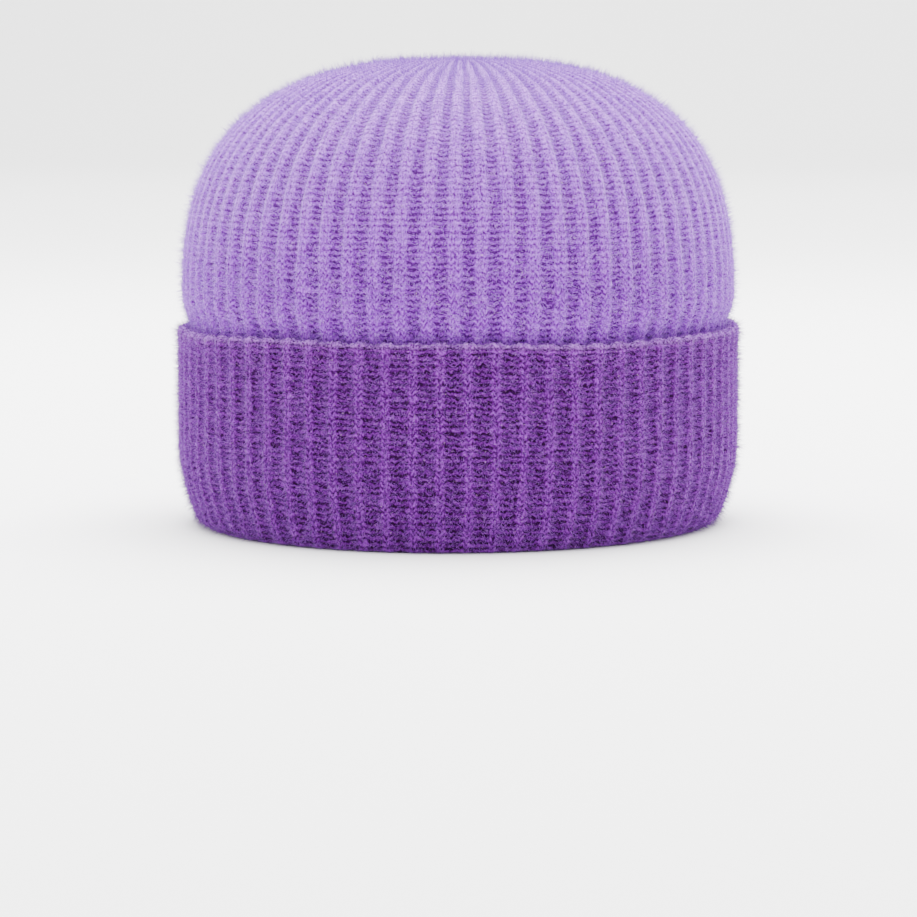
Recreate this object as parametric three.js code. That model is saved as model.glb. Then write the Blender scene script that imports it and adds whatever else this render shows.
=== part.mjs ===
// Ribbed knit cap with a turned-up cuff, standing on its rim.
// Millimetres, +Z up. The origin is on the floor under the middle of the rim, and the front faces -Y.
import * as THREE from 'three';

// Inside of the rim, half of each width
const RIM_HALF_WIDTH = 76;
const RIM_HALF_DEPTH = 93;

// Inside of the cap where it is widest, half of each width, and how high above the floor that is
const WIDEST_HALF_WIDTH = 82.5;
const WIDEST_HALF_DEPTH = 94;
const WIDEST_LEVEL = 26;

// Crown: height of the whole cap, how full the dome is (2 is an ellipse), how far the top sits back
const CAP_HEIGHT = 148;
const DOME_FULLNESS = 2.7;
const TOP_SET_BACK = 9;

// Just above the cuff the crown swells over a short shoulder
const SWELL = 2.5;
const SHOULDER_HEIGHT = 10;

// Knit: one layer from rib crest to rib crest, crest to valley on one face, and ribs all round
const KNIT_THICKNESS = 3.4;
const RIB_DEPTH = 1.1;
const RIB_COUNT = 72;

// The ribs fade out where the top is gathered, inside this share of the widest ring
const GATHER_SHARE = 0.3;

// Cuff: height, the bead of its cast-on edge, and the fold that it stands on
const CUFF_HEIGHT = 63;
const EDGE_BEAD = 0.6;
const FOLD_HEIGHT = 4.6;
const FOLD_FLAT = 2.4;

// Clearances: between the crown and the cuff round it, and under the crown's lower edge
const LAYER_GAP = 0.4;
const SEAT_GAP = 0.3;

// Levels up the cuff, as shares of its height, and the share of the edge bead that stands out there.
// The crown has the same levels, so the two walls run parallel.
const CUFF_LEVELS = [
  { rise: 0.2, bead: 0 },
  { rise: 0.41, bead: 0 },
  { rise: 0.68, bead: 0 },
  { rise: 0.94, bead: 1 },
];

// Stations over the dome, as shares of the quarter turn from the shoulder to the top
const DOME_STATIONS = [
  { turn: 0 },
  { turn: 0.17 },
  { turn: 0.34 },
  { turn: 0.5 },
  { turn: 0.66 },
  { turn: 0.81 },
  { turn: 0.93 },
];

// Corners of the cuff's fold and of its top edge are rounded through one middle point at this angle
const MIDDLE_TURN = Math.PI / 4;

// What follows from the sizes above
const WALL = KNIT_THICKNESS - RIB_DEPTH;
const RIB_SWING = RIB_DEPTH / 2;
const CUFF_INSIDE = WALL + RIB_DEPTH + LAYER_GAP;
const CUFF_OUTSIDE = CUFF_INSIDE + WALL;
const SHOULDER_LEVEL = CUFF_HEIGHT + SHOULDER_HEIGHT;
const DOME_RISE = CAP_HEIGHT - WALL - SHOULDER_LEVEL;
const COLUMNS = 2 * RIB_COUNT;

const LILAC_CROWN = new THREE.MeshStandardMaterial({ color: 0xa27cc9, roughness: 0.95, metalness: 0 });
const VIOLET_CUFF = new THREE.MeshStandardMaterial({ color: 0x754595, roughness: 0.95, metalness: 0 });

/** Angles of the rib columns, a crest and a valley in turn, spread evenly along the widest ring. */
function columnAngles() {
  const stepsPerColumn = 20;
  const steps = COLUMNS * stepsPerColumn;
  const ringPoint = (step) => {
    const angle = (step / steps) * 2 * Math.PI;
    return new THREE.Vector2(WIDEST_HALF_WIDTH * Math.cos(angle), WIDEST_HALF_DEPTH * Math.sin(angle));
  };
  const travelled = [0];
  for (let step = 1; step <= steps; step += 1) {
    travelled.push(travelled[step - 1] + ringPoint(step).distanceTo(ringPoint(step - 1)));
  }
  const angles = [];
  for (let column = 0, step = 0; column < COLUMNS; column += 1) {
    const wanted = (column / COLUMNS) * travelled[steps];
    while (travelled[step + 1] < wanted) step += 1;
    const part = (wanted - travelled[step]) / (travelled[step + 1] - travelled[step]);
    angles.push(((step + part) / steps) * 2 * Math.PI);
  }
  return angles;
}

const ANGLES = columnAngles();

/** Smooth step from 0 to 1 as a value goes through a span. */
function ease(value, start, span) {
  return THREE.MathUtils.smoothstep(value, start, start + span);
}

/** Station on the upright wall: half sizes of the inside face at a level, whose normal is level too. */
function wallStation(level) {
  const flare = Math.sin((Math.PI / 2) * Math.min(level / WIDEST_LEVEL, 1));
  const swell = SWELL * ease(level, CUFF_HEIGHT, SHOULDER_HEIGHT);
  return {
    halfWidth: THREE.MathUtils.lerp(RIM_HALF_WIDTH, WIDEST_HALF_WIDTH, flare) + RIB_SWING + swell,
    halfDepth: THREE.MathUtils.lerp(RIM_HALF_DEPTH, WIDEST_HALF_DEPTH, flare) + RIB_SWING + swell,
    level,
    outward: 1,
    upward: 0,
    ribs: 1,
    setBack: 0,
  };
}

/** Station on the dome at a share of the turn from shoulder to top. Its normal tips upward with the turn. */
function domeStation(turn) {
  const angle = turn * (Math.PI / 2);
  const across = Math.cos(angle) ** (2 / DOME_FULLNESS);
  const up = Math.sin(angle) ** (2 / DOME_FULLNESS);
  const base = wallStation(SHOULDER_LEVEL);
  return {
    halfWidth: base.halfWidth * across,
    halfDepth: base.halfDepth * across,
    level: SHOULDER_LEVEL + DOME_RISE * up,
    outward: across ** (DOME_FULLNESS - 1),
    upward: (up ** (DOME_FULLNESS - 1) * base.halfWidth) / DOME_RISE,
    ribs: Math.min(across / GATHER_SHARE, 1),
    setBack: TOP_SET_BACK * up * up,
  };
}

/**
 * Ring of points round the cap at a station. The offset goes outward from the inside face, and the
 * swing moves crests and valleys apart: 1 follows the crown's ribs, -1 the turned-over ribs of the cuff.
 */
function ring(station, offset, swing, drop = 0) {
  return ANGLES.map((angle, column) => {
    const normal = new THREE.Vector3(
      (station.outward * Math.cos(angle)) / station.halfWidth,
      (station.outward * Math.sin(angle)) / station.halfDepth,
      station.upward / station.halfWidth,
    ).normalize();
    const rib = (column % 2 === 0 ? 1 : -1) * RIB_SWING * station.ribs * swing;
    return new THREE.Vector3(
      station.halfWidth * Math.cos(angle),
      station.halfDepth * Math.sin(angle) + station.setBack,
      station.level - drop,
    ).addScaledVector(normal, offset + rib);
  });
}

/**
 * Closed surface through rings in order. The rings go round the wall's section from the inside face,
 * under its lower edge and up the outside, and either join end to end or close on two poles.
 */
function surfaceThrough(rings, poles) {
  const points = rings.flat();
  const faces = [];
  const at = (row, column) => (row % rings.length) * COLUMNS + (column % COLUMNS);
  const bands = poles ? rings.length - 1 : rings.length;
  for (let row = 0; row < bands; row += 1) {
    for (let column = 0; column < COLUMNS; column += 1) {
      faces.push(at(row, column), at(row, column + 1), at(row + 1, column + 1));
      faces.push(at(row, column), at(row + 1, column + 1), at(row + 1, column));
    }
  }
  if (poles) {
    const first = points.push(poles.inside) - 1;
    const last = points.push(poles.outside) - 1;
    for (let column = 0; column < COLUMNS; column += 1) {
      faces.push(first, at(0, column + 1), at(0, column));
      faces.push(last, at(bands, column), at(bands, column + 1));
    }
  }
  const geometry = new THREE.BufferGeometry().setFromPoints(points);
  geometry.setIndex(faces);
  geometry.computeVertexNormals();
  return geometry;
}

/** Crown: one knitted layer, hollow, from just above the fold up to the gathered top. */
function crown() {
  const stations = [
    wallStation(FOLD_HEIGHT + SEAT_GAP),
    ...CUFF_LEVELS.map(({ rise }) => wallStation(rise * CUFF_HEIGHT)),
    ...DOME_STATIONS.map(({ turn }) => domeStation(turn)),
  ];
  const insideDown = stations.map((station) => ring(station, 0, 1)).reverse();
  const outsideUp = stations.map((station) => ring(station, WALL, 1));
  const geometry = surfaceThrough([...insideDown, ...outsideUp], {
    inside: new THREE.Vector3(0, TOP_SET_BACK, CAP_HEIGHT - WALL),
    outside: new THREE.Vector3(0, TOP_SET_BACK, CAP_HEIGHT),
  });
  const mesh = new THREE.Mesh(geometry, LILAC_CROWN);
  mesh.name = 'crown';
  return mesh;
}

/** Cuff: the rounded fold that the cap stands on, and the band turned up outside the crown. */
function cuff() {
  const seat = wallStation(FOLD_HEIGHT);
  const floor = { ...wallStation(0), ribs: 0 };
  const corner = (CUFF_OUTSIDE - FOLD_FLAT) / 2;
  const middleIn = corner * (1 - Math.cos(MIDDLE_TURN));
  const middleDrop = FOLD_HEIGHT * Math.sin(MIDDLE_TURN);
  const fold = [
    ring(seat, 0, 1),
    ring(seat, middleIn, 1, middleDrop),
    ring(floor, corner, 0),
    ring(floor, corner + FOLD_FLAT, 0),
    ring(seat, CUFF_OUTSIDE - middleIn, -1, middleDrop),
    ring(seat, CUFF_OUTSIDE, -1),
  ];
  const levels = CUFF_LEVELS.map(({ rise, bead }) => ({ station: wallStation(rise * CUFF_HEIGHT), bead }));
  const outside = levels.map(({ station, bead }) => ring(station, CUFF_OUTSIDE + bead * EDGE_BEAD, -1));
  const top = ring(wallStation(CUFF_HEIGHT), CUFF_INSIDE + WALL / 2, -1);
  const inside = levels.map(({ station }) => ring(station, CUFF_INSIDE, -1)).reverse();
  const shelf = ring(seat, CUFF_INSIDE, -1);
  const mesh = new THREE.Mesh(surfaceThrough([...fold, ...outside, top, ...inside, shelf]), VIOLET_CUFF);
  mesh.name = 'cuff';
  return mesh;
}

const cap = new THREE.Group();
cap.add(crown(), cuff());

export default cap;
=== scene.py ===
"""Ribbed knit cap with a turned-up cuff, standing on its rim: the finished look of each piece."""

import logging
import math
from abc import ABC, abstractmethod
from dataclasses import dataclass
from enum import Enum
from typing import ClassVar

import bmesh
import bpy
import numpy as np
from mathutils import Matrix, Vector


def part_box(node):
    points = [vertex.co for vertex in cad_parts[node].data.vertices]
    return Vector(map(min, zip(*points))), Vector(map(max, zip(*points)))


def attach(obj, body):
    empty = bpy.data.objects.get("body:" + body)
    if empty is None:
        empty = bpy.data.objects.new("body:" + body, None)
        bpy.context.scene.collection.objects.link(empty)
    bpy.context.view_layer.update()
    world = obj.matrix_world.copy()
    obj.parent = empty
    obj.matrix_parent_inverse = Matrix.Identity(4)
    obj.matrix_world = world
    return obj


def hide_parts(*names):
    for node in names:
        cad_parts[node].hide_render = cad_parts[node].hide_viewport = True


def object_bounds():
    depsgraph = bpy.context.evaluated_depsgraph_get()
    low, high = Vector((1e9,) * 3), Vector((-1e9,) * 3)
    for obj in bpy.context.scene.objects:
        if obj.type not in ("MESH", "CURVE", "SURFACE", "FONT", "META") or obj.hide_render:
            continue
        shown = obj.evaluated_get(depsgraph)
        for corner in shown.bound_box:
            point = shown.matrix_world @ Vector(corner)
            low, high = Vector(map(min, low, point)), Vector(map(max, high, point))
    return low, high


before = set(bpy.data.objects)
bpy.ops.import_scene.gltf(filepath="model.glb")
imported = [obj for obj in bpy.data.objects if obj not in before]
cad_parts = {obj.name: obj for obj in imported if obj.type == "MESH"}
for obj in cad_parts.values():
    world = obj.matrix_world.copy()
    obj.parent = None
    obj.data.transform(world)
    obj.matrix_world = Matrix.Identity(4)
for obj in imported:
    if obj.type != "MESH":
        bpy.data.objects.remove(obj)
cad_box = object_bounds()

logging.basicConfig(level=logging.INFO, format="%(name)s: %(message)s")
log = logging.getLogger("knit_cap")

MM = 0.001
QUARTER = math.pi / 2
TURN = 2 * math.pi

Colour = tuple[float, float, float]
Triple = tuple[float, float, float]
Pair = tuple[float, float]
Socket = bpy.types.NodeSocket


class Layer(Enum):
    """The two knitted layers: where the middle of a knit rib is, in stitches, and how narrow such ribs look.

    The turned-up cuff shows the other face of the fabric, so its knit ribs are the narrow ones.
    """

    CROWN = (0.0, -0.2)
    CUFF = (2.0, 0.5)

    @property
    def phase(self) -> float:
        """Stitch coordinate of the middle of a knit rib."""
        return self.value[0]

    @property
    def narrowness(self) -> float:
        """Cosine of the rib wave at which knit stitches change to purl ones."""
        return self.value[1]


class Stray(Enum):
    """What strays from stitch to stitch: its place along the layer, or how far it stands out."""

    ALONG = 0
    OUT = 1


@dataclass(frozen=True)
class Gauge:
    """The knit: how many ribs and stitches, how big a stitch is, and how far each form stands out.

    Attributes:
        ribs: ribs in one round, each with a valley beside it.
        stitches_per_rib: stitches in a rib and its valley.
        row_height: height of one row.
        thickness: one layer, from rib crest to rib crest.
        rib_depth: crest to valley on one face.
        squareness: how flat crests and valleys are, the larger the flatter.
        rib_change: how sharply knit stitches change to purl ones.
        leg_relief: how far the legs of a knit stitch stand out.
        purl_relief: how far the bar of a purl stitch stands out.
        wale_bulge: share of a knit stitch's form that is one bulge across it.
        leg_bulge: share that is a bulge on each of its two legs.
        stitch_rise: how far those bulges show between two rows too.
        stitch_sink: how far the whole stitch sinks, so that it stays near the sheet.
        leg_slant: how far the legs of a knit stitch slant, in rows.
        purl_arch: how far the bar of a purl stitch arches, in rows.
        wander: how far single stitches stray up and down, in rows.
        sway: how far ribs stray sideways, in stitches.
        unevenness: how far single stitches stray in and out.
        points_per_stitch: mesh columns in a stitch.
    """

    ribs: int = 72
    stitches_per_rib: int = 4
    row_height: float = 1.82 * MM
    thickness: float = 3.4 * MM
    rib_depth: float = 1.1 * MM
    squareness: float = 1.7
    rib_change: float = 2.2
    leg_relief: float = 0.28 * MM
    purl_relief: float = 0.3 * MM
    wale_bulge: float = 0.85
    leg_bulge: float = 0.45
    stitch_rise: float = 0.8
    stitch_sink: float = 0.5
    leg_slant: float = 0.36
    purl_arch: float = 0.14
    wander: float = 0.17
    sway: float = 0.16
    unevenness: float = 0.1 * MM
    points_per_stitch: int = 4

    @property
    def stitches(self) -> int:
        """Stitches in one round."""
        return self.ribs * self.stitches_per_rib

    @property
    def columns(self) -> int:
        """Mesh columns in one round."""
        return self.stitches * self.points_per_stitch

    @property
    def wall(self) -> float:
        """Thickness of the sheet between the middle of one face and the middle of the other."""
        return self.thickness - self.rib_depth


@dataclass(frozen=True)
class CapForm:
    """Outline of the cap, the same one that its solids have, from the frame's boxes and named sizes.

    Attributes:
        gauge: the knit.
        widest: half width and half depth of the inside where it is widest.
        height: height of the whole cap.
        cuff_height: height of the cuff.
        rim_in: how much smaller those two half sizes are at the rim.
        widest_level: height above the floor where the inside is widest.
        fullness: how full the dome is, 2 for an ellipse.
        set_back: how far the top sits behind the middle.
        swell: how far the crown swells out above the cuff.
        shoulder: height over which it does so.
        gather_share: share of the widest ring inside which the ribs fade out.
        fold_height: level of the inside of the fold at the rim.
        fold_flat: width of the flat that the fold stands on.
        edge_bead: how far the bead of the cast-on edge stands out.
        layer_gap: space between the crown and the cuff round it.
    """

    gauge: Gauge
    widest: Pair
    height: float
    cuff_height: float
    rim_in: Pair = (6.5 * MM, 1.0 * MM)
    widest_level: float = 26 * MM
    fullness: float = 2.7
    set_back: float = 9 * MM
    swell: float = 2.5 * MM
    shoulder: float = 10 * MM
    gather_share: float = 0.3
    fold_height: float = 4.6 * MM
    fold_flat: float = 2.4 * MM
    edge_bead: float = 0.6 * MM
    layer_gap: float = 0.4 * MM

    @classmethod
    def from_frame(cls, gauge: Gauge) -> "CapForm":
        """Works the outline out from the boxes of the frame's two nodes.

        Args:
            gauge: the knit.

        Returns:
            The cap's outline.
        """
        low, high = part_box("cuff")
        # From the crown's inner face out to the cuff's outer one, with half a rib and the edge bead on it
        proud = 2 * gauge.wall + 1.5 * gauge.rib_depth + cls.layer_gap + cls.edge_bead
        return cls(
            gauge=gauge,
            widest=((high[0] - low[0]) / 2 - proud, (high[1] - low[1]) / 2 - proud),
            height=float(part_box("crown")[1][2]),
            cuff_height=float(high[2]),
        )

    @property
    def cuff_inside(self) -> float:
        """How far the cuff's inner face lies outside the crown's inner face."""
        return self.gauge.wall + self.gauge.rib_depth + self.layer_gap

    @property
    def cuff_outside(self) -> float:
        """How far the cuff's outer face lies outside the crown's inner face."""
        return self.cuff_inside + self.gauge.wall

    @property
    def shoulder_level(self) -> float:
        """Level where the upright wall turns into the dome."""
        return self.cuff_height + self.shoulder

    @property
    def dome_rise(self) -> float:
        """Height of the dome's inside above the shoulder."""
        return self.height - self.gauge.wall - self.shoulder_level

    def wall_at(self, level: np.ndarray) -> tuple[np.ndarray, np.ndarray]:
        """Half width and half depth of the crown's inside face.

        Args:
            level: heights above the floor, up to the shoulder.

        Returns:
            The two half sizes at each height.
        """
        flare = np.sin(QUARTER * np.clip(level / self.widest_level, 0, 1))
        rise = np.clip((level - self.cuff_height) / self.shoulder, 0, 1)
        swell = self.swell * rise * rise * (3 - 2 * rise)
        sizes = zip(self.widest, self.rim_in)
        width, depth = [size - narrower * (1 - flare) + swell for size, narrower in sizes]
        return width, depth


@dataclass(frozen=True)
class Sway:
    """One slow wave by which the ribs leave the upright.

    Attributes:
        per_row: how far the wave turns with each row.
        stray: how far its start strays round the cap.
        times_round: how often that start comes and goes in one round.
        start: where that begins.
    """

    per_row: float
    stray: float
    times_round: int
    start: float

    def at(self, row: np.ndarray, round_angle: np.ndarray) -> np.ndarray:
        """Value of the wave, from -1 to 1, at rows and at angles round the cap."""
        return np.sin(self.per_row * row + self.stray * np.sin(self.times_round * round_angle + self.start))


class Knit:
    """The knit's own form: a height and a shift along the layer for every stitch and row."""

    SWAYS = (
        Sway(per_row=0.45, stray=4, times_round=17, start=0.0),
        Sway(per_row=0.16, stray=3, times_round=7, start=1.0),
    )
    RING_SAMPLES = 20000
    STRAY_ROWS = 256
    MOST_STRAY = 2

    def __init__(self, form: CapForm, layer: Layer, seed: int) -> None:
        """Spreads the stitches evenly along the widest ring and draws the yarn's unevenness.

        Args:
            form: the cap's outline.
            layer: which layer this is.
            seed: start of the random numbers.
        """
        self.gauge = form.gauge
        self.layer = layer
        self.turn = np.linspace(0, TURN, self.RING_SAMPLES)
        width, depth = form.widest
        ring = np.stack([width * np.cos(self.turn), depth * np.sin(self.turn)], axis=1)
        travelled = np.concatenate([[0], np.cumsum(np.linalg.norm(np.diff(ring, axis=0), axis=1))])
        self.travelled = travelled / travelled[-1]
        rng = np.random.default_rng(seed)
        drawn = rng.normal(0.0, 1.0, (len(Stray), self.STRAY_ROWS, self.gauge.stitches))
        self.stray = np.clip(drawn, -self.MOST_STRAY, self.MOST_STRAY)

    def angle(self, stitch: np.ndarray, row: np.ndarray) -> np.ndarray:
        """Angle round the cap of a place on the layer. The ribs sway a little as they rise.

        Args:
            stitch: stitch coordinates.
            row: row coordinates.

        Returns:
            The angles.
        """
        round_angle = TURN * stitch / self.gauge.stitches
        swayed = self.gauge.sway * sum(sway.at(row, round_angle) for sway in self.SWAYS) / len(self.SWAYS)
        share = np.mod((stitch + swayed) / self.gauge.stitches, 1.0)
        return np.interp(share, self.travelled, self.turn)

    def rib_cosine(self, stitch: np.ndarray) -> np.ndarray:
        """Wave that is 1 in the middle of a knit rib and -1 in the middle of a purl valley."""
        return np.cos(TURN * (stitch - self.layer.phase) / self.gauge.stitches_per_rib)

    def rib_wave(self, stitch: np.ndarray) -> np.ndarray:
        """The same wave with flattened crests and valleys."""
        return np.tanh(self.gauge.squareness * self.rib_cosine(stitch)) / math.tanh(self.gauge.squareness)

    def knit_share(self, stitch: np.ndarray) -> np.ndarray:
        """1 where the stitches are knit, 0 where they are purl, with a short change between."""
        past_change = self.rib_cosine(stitch) - self.layer.narrowness
        return np.clip(past_change * self.gauge.rib_change + 0.5, 0, 1)

    def stray_at(self, kind: Stray, stitch: np.ndarray, row: np.ndarray) -> np.ndarray:
        """Random numbers of the stitches that points belong to.

        Args:
            kind: what strays by them.
            stitch: stitch coordinates.
            row: row coordinates.

        Returns:
            One number for each point, the same all over a stitch.
        """
        rows = np.mod(np.round(row).astype(int), self.stray.shape[1])
        stitches = np.mod(np.floor(stitch).astype(int), self.stray.shape[2])
        return self.stray[kind.value, rows, stitches]

    def shift(self, stitch: np.ndarray, row: np.ndarray) -> np.ndarray:
        """How far points are shifted along the layer: a V on knit stitches, an arch on purl ones.

        Args:
            stitch: stitch coordinates.
            row: row coordinates.

        Returns:
            The shift in metres. The turned-up cuff has its stitches upside down.
        """
        within = np.mod(stitch, 1.0)
        knit = self.knit_share(stitch)
        fork = self.gauge.leg_slant * (2 * np.abs(2 * within - 1) - 1)
        arch = -self.gauge.purl_arch * np.cos(TURN * within)
        wander = self.gauge.wander * self.stray_at(Stray.ALONG, stitch, row)
        upright = 1 if self.layer is Layer.CROWN else -1
        return self.gauge.row_height * (upright * (knit * fork + (1 - knit) * arch) + wander)

    def relief(self, stitch: np.ndarray, row: np.ndarray) -> np.ndarray:
        """Height of the stitches above the ribbed sheet.

        Args:
            stitch: stitch coordinates.
            row: row coordinates, whole numbers on the crest of a row.

        Returns:
            The relief in metres.
        """
        gauge = self.gauge
        within = np.mod(stitch, 1.0)
        ridge = np.cos(TURN * row)
        legs = gauge.leg_bulge * np.abs(np.sin(TURN * within))
        wale = gauge.wale_bulge * np.abs(np.sin(math.pi * within)) + legs
        knit_form = gauge.leg_relief * (gauge.stitch_rise * wale - gauge.stitch_sink + ridge * (1 + wale) / 2)
        purl_form = gauge.purl_relief * ridge
        knit = self.knit_share(stitch)
        stray = gauge.unevenness * self.stray_at(Stray.OUT, stitch, row)
        return knit * knit_form + (1 - knit) * purl_form + stray


class Meridian:
    """Rise of the crown's inside face as a path that can be read at any distance along it."""

    FIELDS = ("half_width", "half_depth", "level", "outward", "upward", "set_back", "ribs")
    SAMPLES = 400

    def __init__(self, form: CapForm, low: float) -> None:
        """Samples the inside face from a level up to the top.

        Args:
            form: the cap's outline.
            low: the level where the path starts.
        """
        level = np.linspace(low, form.shoulder_level, self.SAMPLES)
        width, depth = form.wall_at(level)
        turn = np.linspace(0, QUARTER, self.SAMPLES)[1:-1]
        across, up = np.cos(turn) ** (2 / form.fullness), np.sin(turn) ** (2 / form.fullness)
        flat = np.zeros(self.SAMPLES)
        self.half_width = np.concatenate([width, width[-1] * across])
        self.half_depth = np.concatenate([depth, depth[-1] * across])
        self.level = np.concatenate([level, form.shoulder_level + form.dome_rise * up])
        self.outward = np.concatenate([flat + 1, across ** (form.fullness - 1)])
        self.upward = np.concatenate([flat, up ** (form.fullness - 1) * width[-1] / form.dome_rise])
        self.set_back = np.concatenate([flat, form.set_back * up * up])
        self.ribs = np.concatenate([flat + 1, np.minimum(across / form.gather_share, 1)])
        radius = (self.half_width + self.half_depth) / 2
        steps = np.hypot(np.diff(radius), np.diff(self.level))
        self.distance = np.concatenate([[0], np.cumsum(steps)])

    @property
    def length(self) -> float:
        """Length of the whole path."""
        return float(self.distance[-1])

    def distance_at_level(self, level: float) -> float:
        """Distance along the path at which it reaches a level."""
        return float(np.interp(level, self.level, self.distance))

    def points(self, distance: np.ndarray, angle: np.ndarray, offset: np.ndarray,
               swing: np.ndarray) -> np.ndarray:
        """Points outside the crown's inner face.

        Args:
            distance: how far along the path each point is.
            angle: its angle round the cap.
            offset: how far it lies outside the inner face.
            swing: the ribs' part of that, which fades where the top is gathered.

        Returns:
            The points in space.
        """
        at = {name: np.interp(distance, self.distance, getattr(self, name)) for name in self.FIELDS}
        cosine, sine = np.cos(angle), np.sin(angle)
        normal = unit(np.stack([
            at["outward"] * cosine / at["half_width"],
            at["outward"] * sine / at["half_depth"],
            at["upward"] / at["half_width"],
        ], axis=1))
        base = np.stack([
            at["half_width"] * cosine,
            at["half_depth"] * sine + at["set_back"],
            at["level"],
        ], axis=1)
        return base + normal * (offset + swing * at["ribs"])[:, None]


class CuffSection:
    """Section of the cuff as a closed path: round the fold, up the outside, over the edge and back down."""

    FIELDS = ("offset", "level", "out", "up")
    SAMPLES = 60
    BEAD_SPAN = 1.6 * MM

    def __init__(self, form: CapForm) -> None:
        """Samples the section from arcs and straight stretches.

        Args:
            form: the cap's outline.
        """
        samples = self.SAMPLES
        turn = np.linspace(0, QUARTER, samples)
        corner = (form.cuff_outside - form.fold_flat) / 2
        edge_radius = (form.cuff_outside - form.cuff_inside) / 2
        edge_level = form.cuff_height - edge_radius
        rise = np.linspace(form.fold_height, edge_level, 4 * samples)
        bead = form.edge_bead * np.exp(-((rise - edge_level) / self.BEAD_SPAN) ** 2)
        over = np.linspace(0, math.pi, 2 * samples)
        rounded = edge_radius + form.edge_bead * np.exp(-over ** 2)
        edge_middle = form.cuff_inside + edge_radius
        # Offset and level along each stretch: the fold in three, the outside, the edge, the inside, the seat
        stretches = [
            (corner * (1 - np.cos(turn)), form.fold_height * (1 - np.sin(turn))),
            (np.linspace(corner, corner + form.fold_flat, samples), np.zeros(samples)),
            (corner + form.fold_flat + corner * np.sin(turn), form.fold_height * (1 - np.cos(turn))),
            (form.cuff_outside + bead, rise),
            (edge_middle + rounded * np.cos(over), edge_level + edge_radius * np.sin(over)),
            (np.full(samples, form.cuff_inside), np.linspace(edge_level, form.fold_height, samples)),
            (np.linspace(form.cuff_inside, 0, samples), np.full(samples, form.fold_height)),
        ]
        self.offset = np.concatenate([offset[1:] for offset, level in stretches])
        self.level = np.concatenate([level[1:] for offset, level in stretches])
        steps = np.hypot(np.diff(self.offset, prepend=0.0), np.diff(self.level, prepend=form.fold_height))
        self.distance = np.cumsum(steps)
        ends = self.distance[np.cumsum([len(offset) - 1 for offset, level in stretches]) - 1]
        self.floor_end, self.edge_start, self.edge_end, self.inside_end = ends[1], ends[3], ends[4], ends[5]
        tangent = unit(np.stack([np.gradient(self.offset), np.gradient(self.level)], axis=1))
        self.out, self.up = tangent[:, 1], -tangent[:, 0]

    def read(self, distance: np.ndarray) -> list[np.ndarray]:
        """Offset, level and the two parts of the outward normal at distances along the path."""
        return [np.interp(distance, self.distance, getattr(self, name)) for name in self.FIELDS]


class KnitMesh:
    """A sheet of quads in columns round the cap and lines along the layer, to be bent and closed."""

    WELD_DISTANCE = 1e-4 * MM

    def __init__(self, name: str, columns: int, lines: int) -> None:
        """Makes the flat sheet.

        Args:
            name: name of the mesh and of its object.
            columns: how many quads there are round the cap.
            lines: how many lines of points there are along the layer.
        """
        self.name = name
        sheet = bmesh.new()
        bmesh.ops.create_grid(sheet, x_segments=columns, y_segments=lines - 1, size=0.5)
        self.mesh = bpy.data.meshes.new(name)
        sheet.to_mesh(self.mesh)
        sheet.free()
        flat = np.empty(len(self.mesh.vertices) * 3, dtype=np.float32)
        self.mesh.vertices.foreach_get("co", flat)
        flat = flat.reshape(-1, 3)
        self.column = np.round((flat[:, 0] + 0.5) * columns).astype(int)
        self.line = np.round((flat[:, 1] + 0.5) * (lines - 1)).astype(int)

    def bend(self, points: np.ndarray, stitch: np.ndarray, row: np.ndarray) -> None:
        """Moves the sheet's points into place and stores stitch and row numbers as its map.

        Args:
            points: where each point goes.
            stitch: its stitch coordinate.
            row: its row coordinate.
        """
        self.mesh.vertices.foreach_set("co", points.astype(np.float32).ravel())
        vertex = np.empty(len(self.mesh.loops), dtype=np.int32)
        self.mesh.loops.foreach_get("vertex_index", vertex)
        stitch_map = self.mesh.uv_layers.new(name="stitch_map")
        places = np.stack([stitch[vertex], row[vertex]], axis=1)
        stitch_map.uv.foreach_set("vector", places.astype(np.float32).ravel())

    def close(self) -> bpy.types.Object:
        """Welds the sheet where its borders meet and links it to the scene.

        Returns:
            The finished object at the origin.
        """
        weld = bmesh.new()
        weld.from_mesh(self.mesh)
        bmesh.ops.remove_doubles(weld, verts=weld.verts, dist=self.WELD_DISTANCE)
        bmesh.ops.recalc_face_normals(weld, faces=weld.faces)
        for face in weld.faces:
            face.smooth = True
        weld.to_mesh(self.mesh)
        weld.free()
        return add_object(self.mesh, self.name)


def add_object(mesh: bpy.types.Mesh, name: str) -> bpy.types.Object:
    """Links a mesh to the scene as an object at the origin.

    Args:
        mesh: the finished mesh.
        name: the piece's name.

    Returns:
        The new object.
    """
    piece = bpy.data.objects.new(name, mesh)
    bpy.context.scene.collection.objects.link(piece)
    return piece


def ramp(value: np.ndarray, start: float, end: float) -> np.ndarray:
    """Straight step from 0 to 1 as a value goes from start to end."""
    return np.clip((value - start) / (end - start), 0, 1)


def unit(vectors: np.ndarray) -> np.ndarray:
    """The same directions with length 1."""
    return vectors / np.linalg.norm(vectors, axis=1, keepdims=True)


@dataclass(frozen=True)
class Hair:
    """One sort of loose fibre: least and most of each size, lean in radians, and bend 0 for straight ones."""

    count: int
    length: Pair
    radius: Pair
    lean: Pair
    bend: float


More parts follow.
